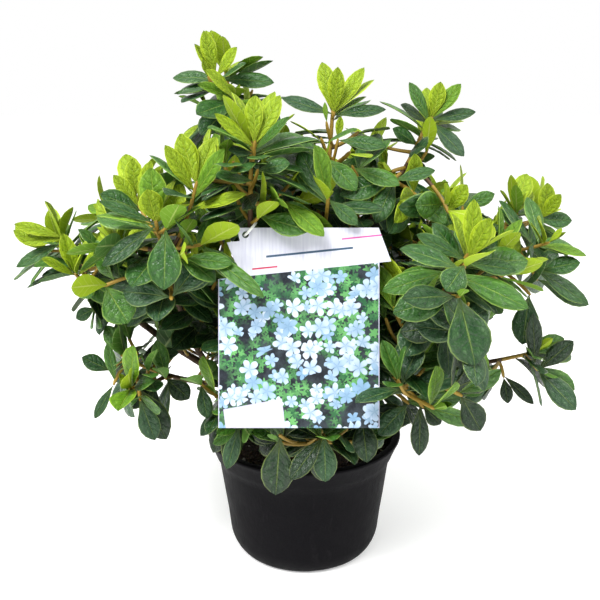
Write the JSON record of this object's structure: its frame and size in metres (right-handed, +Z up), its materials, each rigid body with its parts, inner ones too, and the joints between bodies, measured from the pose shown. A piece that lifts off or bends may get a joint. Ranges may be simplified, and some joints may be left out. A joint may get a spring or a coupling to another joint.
{
  "type": "potted azalea shrub",
  "caption": "Low, wide evergreen azalea out of flower, with lime young leaves over dark grown ones, in a black tapered nursery pot with a picture card hung on a stem.",
  "frame": {"origin": "centre of the pot's flat underside", "axes": "+Z up; -Y towards the side that the picture card faces; +X to the right of someone who looks at the card"},
  "size_m": [0.4612, 0.4056, 0.4459],
  "materials": {
    "pot_plastic": "matt black moulded plastic, faintly scuffed",
    "compost": "dark, crumbly, matt",
    "bark": "brown, finely cracked, matt",
    "green_twig": "ochre young wood, matt",
    "leaf_grown": "dark green leaf, semi-gloss",
    "leaf_young": "lime green leaf, satin",
    "leaf_old": "yellowing leaf, satin",
    "card_print": "smooth printed card",
    "loop_plastic": "white, satin"
  },
  "bodies": {
    "root": {"pot": "pot_plastic", "compost": "compost", "trunk": "bark", "bough_left_tip": "bark", "foliage_left_tip": "leaf_grown", "bough_front_left": "bark", "foliage_front_left": "leaf_grown", "bough_top_middle": "bark", "foliage_top_middle": "leaf_grown", "bough_right_front": "bark", "foliage_right_front": "leaf_grown", "bough_right_high": "bark", "foliage_right_high": "leaf_grown", "bough_back_right": "bark", "foliage_back_right": "leaf_grown", "bough_back_middle": "bark", "foliage_back_middle": "leaf_grown", "bough_low_front": "bark", "foliage_low_front": "leaf_grown", "bough_left_front": "bark", "foliage_left_front": "leaf_grown", "bough_low_left": "bark", "foliage_low_left": "leaf_grown", "bough_low_left_front": "bark", "foliage_low_left_front": "leaf_grown", "bough_top_left": "bark", "foliage_top_left": "leaf_grown", "bough_top_right": "bark", "foliage_top_right": "leaf_grown", "bough_low_right_front": "bark", "foliage_low_right_front": "leaf_grown", "bough_low_right": "bark", "foliage_low_right": "leaf_grown", "bough_back_right_high": "bark", "foliage_back_right_high": "leaf_grown", "bough_low_back_right": "bark", "foliage_low_back_right": "leaf_grown", "bough_back_left_high": "bark", "foliage_back_left_high": "leaf_grown", "bough_low_back": "bark", "foliage_low_back": "leaf_grown", "bough_back_left": "bark", "foliage_back_left": "leaf_grown", "bough_low_back_left": "bark", "foliage_low_back_left": "leaf_grown", "picture_card": "card_print", "card_loop": "loop_plastic"}
  },
  "joints": []
}
